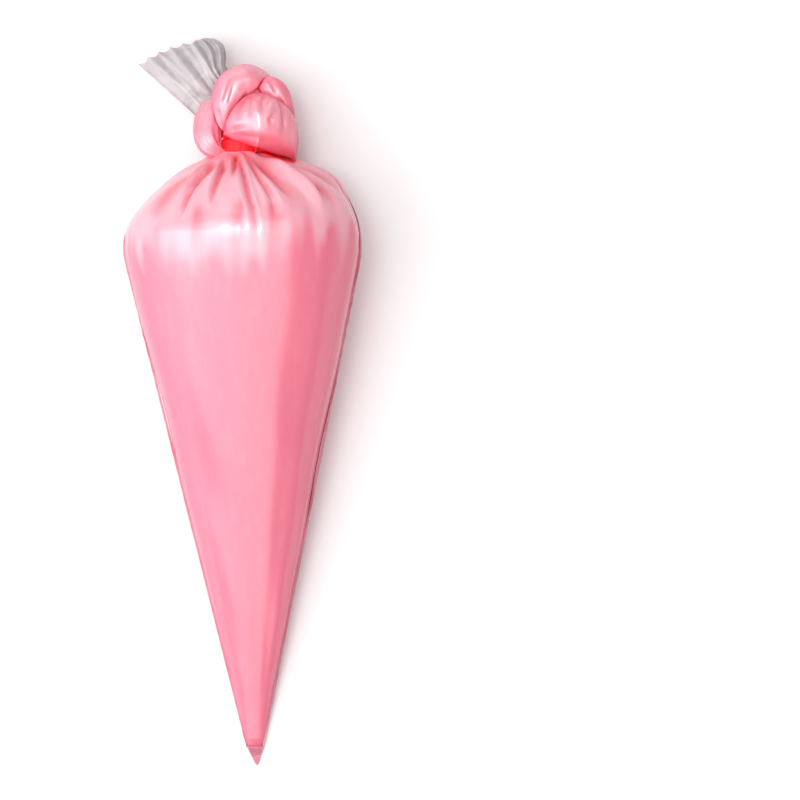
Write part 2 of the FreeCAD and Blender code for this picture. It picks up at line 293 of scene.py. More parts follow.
def crinkleGroup():
    # fine crackle of handled film: two sizes of noise, as a height from 0 to 1
    group, source, target = newGroup(
        "filmCrinkle",
        [("Scale", "NodeSocketFloat", 300.0), ("Fine Share", "NodeSocketFloat", 0.3)],
        [("Height", "NodeSocketFloat")],
    )
    place = node(group, "ShaderNodeTexCoord")
    broad = node(group, "ShaderNodeTexNoise", in_Detail=2.0, in_Distortion=0.6)
    fine = node(group, "ShaderNodeTexNoise", in_Detail=3.0)
    group.links.new(place.outputs["Object"], broad.inputs["Vector"])
    group.links.new(place.outputs["Object"], fine.inputs["Vector"])
    group.links.new(source.outputs["Scale"], broad.inputs["Scale"])
    group.links.new(maths(group, "MULTIPLY", source.outputs["Scale"], 5.0), fine.inputs["Scale"])
    fineHeight = maths(group, "MULTIPLY", fine.outputs["Fac"], source.outputs["Fine Share"])
    group.links.new(maths(group, "ADD", broad.outputs["Fac"], fineHeight), target.inputs["Height"])
    return group


streaks = streakGroup()
crinkle = crinkleGroup()

pinkLook = {
    "deep": (0.91, 0.21, 0.30, 1),  # icing pressed against the film
    "pale": (0.97, 0.47, 0.55, 1),  # film with only a thin smear of icing behind it
    "crease": (0.82, 0.0, 0.010, 1),  # painted shade: the deep red of creases, of the gather and under the knot, where light goes through film and icing many times
    "roughness": 0.17,
    "coatRoughness": 0.28,  # the film's broad sheen
    "coatIor": 1.95,
    "streaks": 0.45,
    "cracks": 0.15,
}
clearLook = {
    "clouds": 2.0,
    "shaded": 0.45,  # how dark the film is in its creases, as a share of its tint
    "rim": (0.78, 0.42, 0.48, 1),  # the pink of a cut edge
    "roughness": 0.3,
    "coat": 0.5,
    "coatRoughness": 0.12,
}


def pinkFilm(name):
    # clear film with pink icing behind it: pale where the mesh's haze is high, and red where the mesh's
    # crease value paints shade
    material, tree, shader = newMaterial(name)
    lines = node(tree, "ShaderNodeGroup", node_tree=streaks, in_Width=330.0, in_Length=16.0)
    haze = node(tree, "ShaderNodeAttribute", attribute_name="haze")
    crease = node(tree, "ShaderNodeAttribute", attribute_name="crease")
    evened = maths(tree, "SUBTRACT", lines.outputs[0], 0.5)
    streaky = maths(tree, "MULTIPLY", evened, pinkLook["streaks"])
    thin = maths(tree, "ADD", haze.outputs["Fac"], streaky, clamp=True)
    body = blended(tree, thin, pinkLook["deep"], pinkLook["pale"])
    colour = blended(tree, crease.outputs["Fac"], body, pinkLook["crease"])
    tree.links.new(colour, shader.inputs["Base Color"])
    shader.inputs["Roughness"].default_value = pinkLook["roughness"]
    facing = node(tree, "ShaderNodeLayerWeight", in_Blend=0.5)  # the sheen fades towards the rim
    rimward = maths(tree, "MULTIPLY", facing.outputs["Facing"], 2.0)
    tree.links.new(maths(tree, "SUBTRACT", 1.0, rimward, clamp=True), shader.inputs["Coat Weight"])
    shader.inputs["Coat Roughness"].default_value = pinkLook["coatRoughness"]
    shader.inputs["Coat IOR"].default_value = pinkLook["coatIor"]
    shader.inputs["Specular IOR Level"].default_value = 0.28
    cracks = node(tree, "ShaderNodeGroup", node_tree=crinkle, in_Scale=230.0, in_Fine_Share=0.12)
    bump = node(tree, "ShaderNodeBump", in_Strength=pinkLook["cracks"], in_Distance=0.6 * mm)
    tree.links.new(cracks.outputs[0], bump.inputs["Height"])
    tree.links.new(bump.outputs[0], shader.inputs["Normal"])
    return material


def clearFilm(name, tint, opacity):
    # thin clear film: milky and darker where its crease value is high, which on the tail is painted shade,
    # pink along its cut or welded rim
    material, tree, shader = newMaterial(name)
    milky = node(tree, "ShaderNodeTexNoise", in_Scale=330.0, in_Detail=5.0)
    milky.inputs["Roughness"].default_value = 0.62
    milky.inputs["Distortion"].default_value = 0.8
    place = node(tree, "ShaderNodeTexCoord")
    tree.links.new(place.outputs["Object"], milky.inputs["Vector"])
    crease = node(tree, "ShaderNodeAttribute", attribute_name="crease")
    rim = node(tree, "ShaderNodeAttribute", attribute_name="rim")
    evened = maths(tree, "SUBTRACT", milky.outputs["Fac"], 0.42)
    cloudy = maths(tree, "MULTIPLY", evened, clearLook["clouds"])
    shade = maths(tree, "ADD", crease.outputs["Fac"], cloudy, clamp=True)
    dark = tuple(clearLook["shaded"] * value for value in tint[:3]) + (1,)
    body = blended(tree, shade, tint, dark)
    colour = blended(tree, rim.outputs["Fac"], body, clearLook["rim"])
    tree.links.new(colour, shader.inputs["Base Color"])
    atCrease = maths(tree, "MULTIPLY", shade, 0.25)
    atRim = maths(tree, "MULTIPLY", rim.outputs["Fac"], 0.3)
    opaque = maths(tree, "ADD", opacity, atCrease, clamp=True)
    opaque = maths(tree, "ADD", opaque, atRim, clamp=True)
    tree.links.new(opaque, shader.inputs["Alpha"])
    shader.inputs["Roughness"].default_value = clearLook["roughness"]
    shader.inputs["Coat Weight"].default_value = clearLook["coat"]
    shader.inputs["Coat Roughness"].default_value = clearLook["coatRoughness"]
    return material


bagMaterial = pinkFilm("filmOverIcing")
knotMaterial = pinkFilm("knotFilmOverIcing")
icingMaterial, _, icingShader = newMaterial("icing")
icingShader.inputs["Base Color"].default_value = pinkLook["deep"]
icingShader.inputs["Roughness"].default_value = 0.5
neckShadeMaterial, _, neckShadeShader = newMaterial("gatheredFilm")  # painted shade: deep red all over, as the gathered film shows in the shade under the knot
neckShadeShader.inputs["Base Color"].default_value = (0.80, 0.020, 0.035, 1)
neckShadeShader.inputs["Roughness"].default_value = 0.45
neckShadeShader.inputs["Specular IOR Level"].default_value = 0.2
tailMaterial = clearFilm("clearFilm", (0.60, 0.54, 0.56, 1), 0.78)
weldMaterial = clearFilm("weldFilm", (0.76, 0.24, 0.32, 1), 0.88)
print("materials made")

# the bag's shape, shared by the film, the welds and the icing
frontLow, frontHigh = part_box("front_film")
bag = {
    "halfGirth": min(-frontLow.x, frontHigh.x),
    "height": frontHigh.z,
    "dip": 2.0 * mm,  # how far the round section is pressed flat by the table
    "coneStart": frontLow.y,
    "neckEnd": frontHigh.y,
    "coneLean": 4.0 * mm,  # the cone's end lies this far to the right
    "coneEndHalfWidth": 2.6 * mm,
    "coneEndHalfHeight": 0.9 * mm,
    "drift": 4.8 * mm,  # the shoulder's lean to the right, at most
    "filmThickness": 0.2 * mm,
    "rounding": 15 * mm,  # the length over which the section is averaged at the girth
    "aroundSag": 0.30 * mm,  # broad unevenness of a hand-filled bag, round it and along it
    "alongSag": 0.28 * mm,
    "tipCrease": (-176.6 * mm, 1.3 * mm, 0.22 * mm),  # a crease across the cone: place, width, depth
    "tableRounding": 0.5 * mm,
    # painted shade: how red the folds and the gather are painted
    "redShare": 0.45,
    "redLine": 2.0 * mm,  # half width of the painted shadow line under the knot
    "coneRows": 44,
    "shoulderRows": 150,
    "frontColumns": 380,
    "backColumns": 200,
}
# share of the way from girth to neck, half width and half height as shares of the girth's,
# share of the way down from the girth's level to the neck's, and share of the drift
shoulder = [
    (0.000, 1.034, 1.016, 0.00, 0.00),
    (0.158, 0.975, 0.985, 0.00, 0.05),
    (0.265, 0.925, 0.942, 0.04, 0.30),
    (0.370, 0.862, 0.885, 0.12, 0.65),
    (0.476, 0.800, 0.830, 0.22, 0.90),
    (0.580, 0.707, 0.730, 0.36, 1.00),
    (0.687, 0.575, 0.580, 0.55, 0.95),
    (0.760, 0.430, 0.440, 0.70, 0.75),
    (0.831, 0.310, 0.320, 0.87, 0.30),
    (0.900, 0.205, 0.240, 1.00, -0.27),
]


def bagSection(y):
    # half width, half height, level and sideways place of the bag's section at y: an average
    # over a short stretch, which rounds the girth, and shrinks to nothing at the neck
    reach = bag["rounding"] * (1 - easing(0.3, 0.95, y / bag["neckEnd"]))
    weights = np.exp(-np.linspace(-2, 2, 49) ** 2 / 2)
    shifts = np.linspace(-1, 1, 49)
    rows = [weight * sharpSection(y + shift * reach) for weight, shift in zip(weights, shifts)]
    return sum(rows) / weights.sum()


def sharpSection(y):
    # the same before averaging: smooth through the shoulder's table, straight along the cone
    girthLevel = bag["height"] / 2 - bag["dip"] / 2
    girthHalfHeight = bag["height"] / 2 + bag["dip"] / 2
    rise = neckPlace[1]
    places = [bag["coneStart"]] + [rise * row[0] for row in shoulder]
    endWide, endHigh = bag["coneEndHalfWidth"], bag["coneEndHalfHeight"]
    rows = [(endWide, endHigh, endHigh, bag["coneLean"])]
    for _, wide, high, sink, drift in shoulder:
        level = girthLevel * (1 - sink) + neckPlace[2] * sink
        rows.append((bag["halfGirth"] * wide, girthHalfHeight * high, level, bag["drift"] * drift))
    rows = np.array(rows)
    found = smoothThrough(places, rows, y)
    onCone = np.maximum(y / bag["coneStart"], 0)[:, None]
    straight = rows[1] * (1 - onCone) + rows[0] * onCone
    return np.where(onCone > 0, straight, found)


def bagRows():
    # places along the bag, closer together on the shoulder
    cone = bag["coneStart"] * (1 - np.linspace(0, 1, bag["coneRows"])) ** 0.9
    shoulderShare = np.linspace(0, 1, bag["shoulderRows"] + 1)[1:]
    return np.append(cone, bag["neckEnd"] * np.sin(shoulderShare * math.pi / 2) ** 0.9)


# the shoulder's folds, as rows for drawnFolds: places to the right and along the bag, in mm
shoulderFolds = [
    ([(-2.6, 31.9), (1.9, 20), (3.8, 12.5), (5.6, 7.5), (6.8, 1), (7.5, -4)], 1.4, 1.0, 1.2, 0.5, -1),
    ([(-2.6, 31.5), (-2.6, 19)], 1.3, 0.9, 1.0, 0.5, 1),
    ([(-6, 29), (-7.1, 24.4), (-9.8, 15.8), (-10.5, 7)], 1.5, 1.0, 1.2, 0.5, 1),
    ([(-9, 28), (-13, 23.6), (-22, 14)], 1.4, 1.2, 2.8, 0.2, 1),
    ([(-13, 24.5), (-17, 17.6), (-20.6, 9.4), (-22.3, 1.5)], 1.4, 0.9, 1.1, 0.6, -1),
    ([(-16, 24), (-26, 16), (-31, 8), (-33, 0)], 0.6, 1.5, 3.0, 0.1, 1),
    ([(8, 29.3), (15, 24.6), (21, 21.2), (26.3, 15.8), (30, 9.4), (33.5, 2)], -2.4, 1.1, 1.6, 0.2, -1),
    ([(3, 30), (12.4, 20), (20, 12.4), (24.5, 6.5)], 1.5, 1.2, 3.0, 0.2, 1),
    ([(14, 27), (25, 19.5), (33, 12.5), (37, 4)], 1.0, 1.0, 2.2, 0.3, -1),
    ([(1, 30), (7, 20), (12, 11), (14, 3)], 0.8, 0.7, 1.5, 0.5, 1),
    ([(17, 26.5), (30, 21), (40, 12)], 0.8, 1.0, 2.2, 0.4, 1),
    ([(11.5, 14), (13, 0), (12.5, -14)], 0.3, 2.0, 3.4, 0.0, 1),
    ([(0.5, 14), (0, 2), (1, -12)], 0.35, 2.0, 3.0, 0.0, -1),
    ([(-15, 12), (-16.5, -2), (-15, -16)], 0.25, 2.2, 3.6, 0.0, 1),
]
pleats = {
    "backCount": 13,
    "fineCount": 26,
    "fineDepth": 0.45 * mm,
    "seed": 7,
}


def pleatRows():
    # pleats underneath: angle at the neck and at the end in degrees, reach, depth and half width
    draw = np.random.default_rng(pleats["seed"])
    under = []
    for number in range(pleats["backCount"]):
        angle = 176 + number * 188 / (pleats["backCount"] - 1) + draw.uniform(-5, 5)
        under.append((angle, angle + draw.uniform(-4, 4), draw.uniform(0.5, 0.95),
                      draw.uniform(1.0, 1.9), draw.uniform(1.4, 2.6)))
    return under


def pleatDepth(angle, y, radius):
    # valleys that start at the neck: steep on one side and easy on the other, fading at their
    # reach; the second result is how deep in a valley a point is, from 0 to 1
    away = np.clip((bag["neckEnd"] - y) / bag["neckEnd"], 0, 2)[:, None]
    depth = np.zeros_like(angle + away)
    shade = np.zeros_like(depth)
    for neckAngle, endAngle, reach, deep, wide in pleatRows():
        line = np.radians(neckAngle + (endAngle - neckAngle) * np.minimum(away / reach, 1.2))
        apart = (angle - line + math.pi) % (2 * math.pi) - math.pi
        distance = apart * radius[:, None]
        width = wide * mm * (0.35 + 0.9 * away)
        easy = np.exp(-np.maximum(distance, 0) / (1.5 * width))
        steep = np.exp(np.minimum(distance, 0) / (0.5 * width))
        strength = easing(0.0, 0.12, away) * (1 - easing(0.45 * reach, reach, away))
        valley = np.minimum(easy, steep) * strength
        ridge = np.exp(-(((distance + 1.3 * width) / (0.9 * width)) ** 2)) * strength
        depth += deep * mm * (valley - 0.35 * ridge)
        shade = np.maximum(shade, valley)
    fine = waves(angle * pleats["fineCount"] / 2, 3, 5, 0.6, 1.4)
    depth += pleats["fineDepth"] * fine * (1 - easing(0.15, 0.6, away)) * easing(0.0, 0.05, away)
    return depth, shade


def bagSurface(angles, inset=0.0):
    # an ellipse at each place along the bag, pressed flat by the table, with pleats cut into it
    # along its normal; inset moves the whole surface inwards. The second result is how deep in a
    # fold each point is
    y = bagRows()
    halfWidth, halfHeight, level, side = bagSection(y).T
    angle = angles[None, :]
    x = side[:, None] + halfWidth[:, None] * np.cos(angle)
    z = level[:, None] + halfHeight[:, None] * np.sin(angle)
    points = np.stack([x, np.broadcast_to(y[:, None], x.shape), z], -1)
    normal = gridNormals(points, False)
    depth, shade = pleatDepth(angle, y, (halfWidth + halfHeight) / 2)
    drawn, drawnShade = drawnFolds(points, shoulderFolds)
    upper = easing(0.0, 0.35, np.sin(angle))
    depth, shade = depth + drawn * upper, shade * (1 - upper) + drawnShade * upper
    place, width, deep = bag["tipCrease"]
    depth = depth + deep * np.exp(-(((y[:, None] - place) / width) ** 2)) * upper
    onBelly = easing(bag["coneStart"], -120 * mm, y) * (1 - easing(0.3, 0.8, y / bag["neckEnd"]))
    around = waves(angle * 3.0, 11, 4, 0.5, 2.2)
    around = around + 0.22 * waves(angle * 11 + 6 * y[:, None], 14, 4, 0.5, 1.6)
    soft = waves(y[:, None] * 80 + 5 * np.cos(angle), 12, 3, 0.5, 1.5)
    sag = (bag["aroundSag"] * around + bag["alongSag"] * soft) * onBelly[:, None]
    points = points - normal * (depth + sag + inset)[..., None]
    points[..., 2] = inset + softAbove(points[..., 2] - inset, bag["tableRounding"])
    return points, shade


# how far up the icing reaches at angles round the bag, in degrees from the right over the top:
# place along the bag in mm, above which the film is hazy
hazeLevel = [
    (0, 1), (18, 5), (28, -3), (40, 4), (47, -5), (56, 4), (66, -3), (78, -8), (92, -12), (104, -7),
    (118, -10), (132, -4), (150, -7), (165, -3), (180, -5), (215, -5), (250, -12), (300, -4),
    (340, -8), (360, 1),
]
hazeLook = {
    "most": 0.86,
    "fade": 7 * mm,  # half the distance over which it comes in, and how much that varies
    "fadeWave": 3 * mm,
    "edgeWave": 2.5 * mm,
    # painted shade: how much of the haze is taken out down in the folds
    "lostInFolds": 0.65,
}
# the line in plan where the knot's front bulge lies on the shoulder, in mm from the neck's middle
knotEdge = smoothLine([(-5.6, 1.0), (-0.4, -1.8), (8.8, -4.4), (15.5, -7.0), (20.4, -8.3)])
knotEdge = knotEdge + neckPlace[:2]


def hazeOn(points, angles, shade):
    # white haze on the film above the icing's scalloped level, with painted shade as less of it down in
    # the folds and painted highlight as more on a ridge
    places, levels = np.array(hazeLevel, float).T
    level = smoothThrough(places, levels * mm, np.degrees(angles))[None, :]
    fade = hazeLook["fade"] + hazeLook["fadeWave"] * waves(angles * 14, 71, 5, 0.5, 1.6)[None, :]
    y = points[..., 1] + hazeLook["edgeWave"] * waves(angles * 30, 72, 5, 0.5, 1.5)[None, :]
    amount = hazeLook["most"] * easing(level - fade, level + fade, y)
    return np.clip(amount * (1 - hazeLook["lostInFolds"] * shade), 0, 1)  # and more of it on a ridge


def shadowUnderKnot(points, reach):
    # painted shadow: 1 on the line where the knot's front bulge lies on the shoulder, fading with distance
    return 1 - easing(0.15 * reach, reach, lineDistance(points, knotEdge)[0])


def softAbove(height, rounding):
    # keeps heights above zero: half of the height plus the root of its square and the rounding's,
    # less a little near the table, so that the lowest part lies on it
    lifted = (height + np.sqrt(height**2 + rounding**2)) / 2
    return lifted - 0.5 * rounding * np.exp(-np.abs(height) / rounding)


def creaseNear(points, middle, reach):
    # painted shade: 1 at the place where the film is drawn together, fading with distance
    return 1 - easing(0.35 * reach, reach, np.linalg.norm(points - middle, axis=2))


gather = {
    "middle": np.array([neckPlace[0] - 0.6 * mm, bag["neckEnd"] + 0.5 * mm, neckPlace[2] + 8 * mm]),
    "reach": 11 * mm,
}


def makePanel(name, start, end, columns, cadNode):
    # the film between two angles round the bag, with painted shade: redder in its folds, towards the neck
    # and under the knot
    angles = np.linspace(start, end, columns)
    points, shade = bagSurface(angles)
    gatherShade = creaseNear(points, gather["middle"], gather["reach"])
    upper = easing(0.0, 0.3, np.sin(angles))[None, :]
    away = easing(-0.3, 0.8, points[..., 1] / bag["neckEnd"])
    valley = np.maximum(shade, 0)
    crease = bag["redShare"] * (gatherShade * (0.3 + valley) + valley**1.5 * away)
    crease = np.clip(crease + shadowUnderKnot(points, bag["redLine"]) * upper, 0, 1)
    panel = meshPiece(name, points, crease=crease, haze=hazeOn(points, angles, shade))
    applyThickness(panel, bag["filmThickness"])
    return finishPiece(panel, bagMaterial, "film_over_icing", "bag", cadNode)


frontFilm = makePanel("frontFilm", 0.0, math.pi, bag["frontColumns"], "front_film")
backFilm = makePanel("backFilm", math.pi, 2 * math.pi, bag["backColumns"], "back_film")
print("film panels made")

icing = {"columns": 120, "inset": 0.5 * mm}
icingAngles = np.linspace(0, 2 * math.pi, icing["columns"], endpoint=False)
icingPoints, _ = bagSurface(icingAngles, inset=icing["inset"])
icingBody = meshPiece("icingBody", icingPoints, closed=True, startCap=True, endCap=True)
finishPiece(icingBody, icingMaterial, "icing", "bag", "icing")
print("icing made")

# a fin of welded film down each side of the bag
weld = {
    "width": 1.0 * mm,
    "thickness": 0.12 * mm,
    "end": 0.265,  # as a share of the way from the girth to the neck
    "fade": 20 * mm,
    "sunk": 0.3 * mm,
    "lift": 0.25 * mm,
    "columns": 14,
    "rows": 150,
}


def makeSideWeld(name, angle, outward, cadNode):
    # a narrow fin along the widest line of the bag, waved a little and closed all round
    y = np.linspace(bag["coneStart"], neckPlace[1] * weld["end"], weld["rows"])
    halfWidth, _, level, side = bagSection(y).T
    edge = side + halfWidth * math.cos(angle)
    width = weld["width"] * (1 - 0.12 * np.abs(waves(y * 400, 21, 3, 0.6, 1.6)))
    width *= 1 - easing(y[-1] - weld["fade"], y[-1], y) * 0.9
    lift = weld["lift"] * waves(y * 250, 22 + int(outward > 0), 4, 0.4, 1.6)
    turn = np.linspace(0, 2 * math.pi, weld["columns"], endpoint=False)
    across = (1 - np.cos(turn)) / 2  # 0 at the film, 1 at the fin's edge
    bulge = np.sin(turn) * weld["thickness"] / 2
    x = edge[:, None] + outward * (across * width[:, None] - weld["sunk"])
    z = level[:, None] + bulge + across**2 * lift[:, None]
    points = np.stack([x, np.broadcast_to(y[:, None], x.shape), np.maximum(z, 0.05 * mm)], -1)
    fin = meshPiece(name, points, closed=True, startCap=True, endCap=True, flip=outward > 0,
                    crease=0.1, rim=0.0)
    return finishPiece(fin, weldMaterial, "weld_film", "bag", cadNode)


makeSideWeld("leftWeld", math.pi, -1, "left_side_weld")
makeSideWeld("rightWeld", 0.0, 1, "right_side_weld")

tipLow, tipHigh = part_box("tip_weld")
tip = {
    "rows": 60,
    "columns": 64,
    "ridge": 0.10 * mm,
    "ridges": 7,
    "overlap": 0.6 * mm,  # how far it reaches back over the cone's end
    "drift": 0.8 * mm,
    "pointHalfWidth": 0.25 * mm,
    "pointHalfHeight": 0.20 * mm,
    "rest": 0.03 * mm,
}


def makeTip():
    # a flat wedge that narrows to the point, its welded ridges lying in a V
    y = np.linspace(tipHigh.y + tip["overlap"], tipLow.y, tip["rows"])
    share = np.linspace(0, 1, tip["rows"])[:, None]
    halfWidth = bag["coneEndHalfWidth"] * (1 - share) ** 0.75 * 1.15 + tip["pointHalfWidth"]
    flattened = 1.05 * bag["coneEndHalfHeight"] * (1 - easing(0.0, 0.55, share))
    halfHeight = flattened + tip["pointHalfHeight"]
    turn = np.linspace(0, 2 * math.pi, tip["columns"], endpoint=False)[None, :]
    across = np.cos(turn)
    x = bag["coneLean"] + tip["drift"] * share + halfWidth * across
    thick = np.sign(np.sin(turn)) * np.abs(np.sin(turn)) ** 0.8
    chevron = np.sin(2 * math.pi * tip["ridges"] * (share + 0.12 * np.abs(across)))
    ridged = easing(0.25, 0.4, share) * (1 - easing(0.85, 1.0, share))
    lift = tip["ridge"] * chevron * ridged * thick
    z = halfHeight + tip["rest"] + thick * halfHeight + lift
    points = np.stack([x + 0 * z, np.broadcast_to(y[:, None], z.shape), np.maximum(z, 0)], -1)
    crease = 0.5 + 0.5 * chevron * easing(0.3, 0.5, share) + 0 * z
    made = meshPiece("tipWeld", points, closed=True, startCap=True, endCap=True, flip=True,
                     crease=crease * 0.4, rim=easing(0.7, 1.0, np.abs(across)) * 0.8 + 0 * z)
    return finishPiece(made, weldMaterial, "weld_film", "bag", "tip_weld")


makeTip()
print("welds made")

neck = {
    "length": 13 * mm,
    "start": 9.0 * mm,  # radii, at the shoulder and in the knot
    "waist": 6.6 * mm,
    "pleats": 17,
    "depth": 0.2 * mm,
    "raised": 1.5 * mm,  # on top, towards the end of the shoulder
    "flat": 0.93,  # height as a share of width
    "rows": 60,
    "columns": 300,
}


def makeNeck():
    # a short rope of pleated film that narrows from the shoulder's end into the knot
    share = np.linspace(0, 1, neck["rows"])[:, None]
    turn = np.linspace(0, 2 * math.pi, neck["columns"], endpoint=False)[None, :]
    radius = neck["waist"] + (neck["start"] - neck["waist"]) * (1 - easing(0.45, 0.85, share))
    fold = np.abs(np.sin(turn * neck["pleats"] / 2 + 0.5 * np.sin(2 * turn) + 1.2 * share))
    radius = radius - neck["depth"] * (1 - fold) ** 1.6
    x = neckPlace[0] + radius * np.cos(turn)
    y = neckPlace[1] + neck["length"] * (share - 0.5) + 0 * turn
    raised = neck["raised"] * easing(0, 1, np.sin(turn)) * (1 - easing(0.55, 0.95, share))
    z = neckPlace[2] + neck["flat"] * radius * np.sin(turn) + raised
    points = np.stack([x, y, z], -1)
    made = meshPiece("neckPleats", points, closed=True, startCap=True, endCap=True)
    finishPiece(made, neckShadeMaterial, "film_over_icing", None, "neck_film")
    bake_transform(made)
    return made


makeNeck()
print("neck made")

knot = {
    "samples": 150,
    "columns": 120,
    "rounding": 0.9 * mm,  # of the edges where ropes meet
    "passes": 110,  # of averaging, which ease a rope's bends
    "redReach": 8 * mm,  # of the soft painted shade near the shoulder, then of the painted shadow line
    "redLine": 1.2 * mm,
    "rest": 0.1 * mm,
}
# each rope of the knot: the points that it passes and its thickness there in mm, from the neck's middle,
# then how many wrinkles run along it, how deep they are in mm and how hazy its film is, a haze that is
# partly painted light, most on the top rope and least on the right one
strands = {
    "knotLeft": {
        "path": [
            (-4.4, -4.4, 7, 2.2), (-7.2, -5.0, 7.2, 4.6), (-10.6, -2.8, 7, 6.0), (-12, 3.2, 5, 6.3),
            (-11, 9.5, 2.5, 6.3), (-8, 14.5, -2, 6.5), (-2, 18, -7, 6.5), (6, 16, -9, 6.5),
            (13, 10, -8, 6.5), (16.5, 3, -4, 6.0), (16, -3, 1, 4.5), (13, -5, 5, 2.0),
        ],
        "wrinkles": 16, "depth": 0.36, "haze": 0.38,
    },
    "knotTop": {
        "path": [
            (-4.6, 1.5, 8.5, 2.2), (-5.2, 8, 8.5, 4.2), (-5.0, 14.6, 8.2, 6.0), (-2.8, 20.0, 7.0, 6.8),
            (2.0, 22.6, 6.0, 6.8), (6.5, 21.8, 4.8, 5.9), (10.5, 18.6, 3.0, 4.8), (12.5, 14, 0.5, 3.0),
        ],
        "wrinkles": 9, "depth": 0.20, "haze": 0.45,
    },
    "knotRight": {
        "path": [
            (6.6, 19.8, 6.6, 2.4), (10.6, 20.0, 7.0, 4.9), (14.2, 16.8, 6.4, 5.5), (16.2, 11.5, 5.2, 5.1),
            (17, 5, 4.6, 4.9), (17.2, -0.5, 4, 4.7), (18.6, -5, 3.4, 3.8), (19.4, -8, 3.0, 1.8),
        ],
        "wrinkles": 8, "depth": 0.26, "haze": 0.25,
    },
    "knotFront": {
        "path": [
            (-6.8, -0.2, 9.0, 1.6), (-3.6, 2.2, 9.6, 5.2), (1.5, 6.2, 9.8, 9.6), (7.0, 8.4, 9.2, 12.4),
            (12.8, 5.2, 8.2, 11.2), (17.0, -1.2, 6.6, 7.6), (20.2, -5.6, 5.0, 4.0), (21.4, -8.2, 4.5, 1.8),
        ],
        "wrinkles": 6, "depth": 0.16, "haze": 0.40,
        "passes": 600,
        "over": ["knotLeft"],  # lies on this rope, unpressed
    },
}
# folds drawn on the knot from above, as rows for drawnFolds, from the neck's middle
knotFolds = [
    ([(9.8, 17.5), (8.9, 13.2), (10.2, 9.4)], 0.7, 0.7, 1.1, 0.5, 1),
    ([(13.4, 15.5), (12.4, 11.6), (9.6, 8.4)], -0.6, 0.8, 1.2, 0.3, 1),
    ([(6.2, 15), (6.9, 10.5), (9.0, 7.2)], -0.5, 0.8, 1.2, 0.3, -1),
    ([(13.8, 9.4), (12.0, 7.0), (13.0, 4.0)], 0.5, 0.7, 1.0, 0.5, 1),
    ([(4.0, 19), (0.8, 12.8), (-0.2, 7.6), (3, 5.6)], 0.6, 0.9, 1.2, 0.3, 1),
    ([(5.2, 18), (4.5, 12), (4.2, 6.5)], 0.7, 0.6, 0.9, 0.5, -1),
    ([(14, 17), (16.4, 11.5), (17, 5), (16.6, -1)], 1.0, 0.8, 1.1, 0.5, 1),
    ([(18.4, 14), (19.4, 8), (19.4, 2)], 0.5, 0.6, 0.8, 0.4, 1),
    ([(-3, 1.8), (6, 0.2), (14, -1.6), (19, -5)], 0.6, 1.0, 1.6, 0.2, 1),
    ([(-3, 3), (1, 4), (5, 3.6)], 0.5, 0.7, 1.0, 0.4, 1),
    ([(-6.8, 13), (-5.2, 18.5), (-3.0, 25)], -1.0, 0.8, 1.2, 0.2, 1),
    ([(-4.2, 12), (-2.4, 18), (-0.8, 25)], 0.6, 0.8, 1.2, 0.3, -1),
    ([(-5.4, 4), (-7.2, 9), (-8.2, 13)], 1.0, 0.8, 1.2, 0.6, 1),
    ([(10.5, 22.5), (13, 19.5), (14, 16)], 0.6, 0.8, 1.0, 0.4, 1),
]


def strandPath(points, samples, passes=knot["passes"]):
    # the smooth path and thickness through the set points, averaged over and over with its ends
    # kept, and a frame carried along it
    points = np.array(points, float) * mm
    points[:, :3] += neckPlace
    chord = np.append(0, np.cumsum(np.linalg.norm(np.diff(points[:, :3], axis=0), axis=1)))
    share = np.linspace(0, 1, samples)
    share = 0.5 - 0.5 * np.cos(math.pi * share)  # closer together at the rounded ends
    found = smoothThrough(chord / chord[-1], points, share)
    centre = found[:, :3]
    for _ in range(passes):
        centre[1:-1] = centre[1:-1] * 0.5 + (centre[:-2] + centre[2:]) * 0.25
    tangent = np.gradient(centre, axis=0)
    tangent /= np.linalg.norm(tangent, axis=1, keepdims=True)
    normal = np.zeros_like(centre)
    guide = np.array([0.0, 0.0, 1.0])
    for k in range(samples):  # each side direction is the last one, made square to the path
        guide = guide - tangent[k] * (guide @ tangent[k])
        guide /= np.linalg.norm(guide)
        normal[k] = guide
    cap = np.sqrt(np.clip(1 - (2 * share - 1) ** 8, 0, 1))
    return centre, normal, np.cross(tangent, normal), found[:, 3] * cap, share


def nearness(points, centre, thick):
    # the least distance from each point to a strand's path, counted in that strand's thickness
    gaps = np.linalg.norm(points[..., None, :] - centre[::3], axis=-1)
    return (gaps / np.maximum(thick[::3], 1.2 * mm)).min(-1)


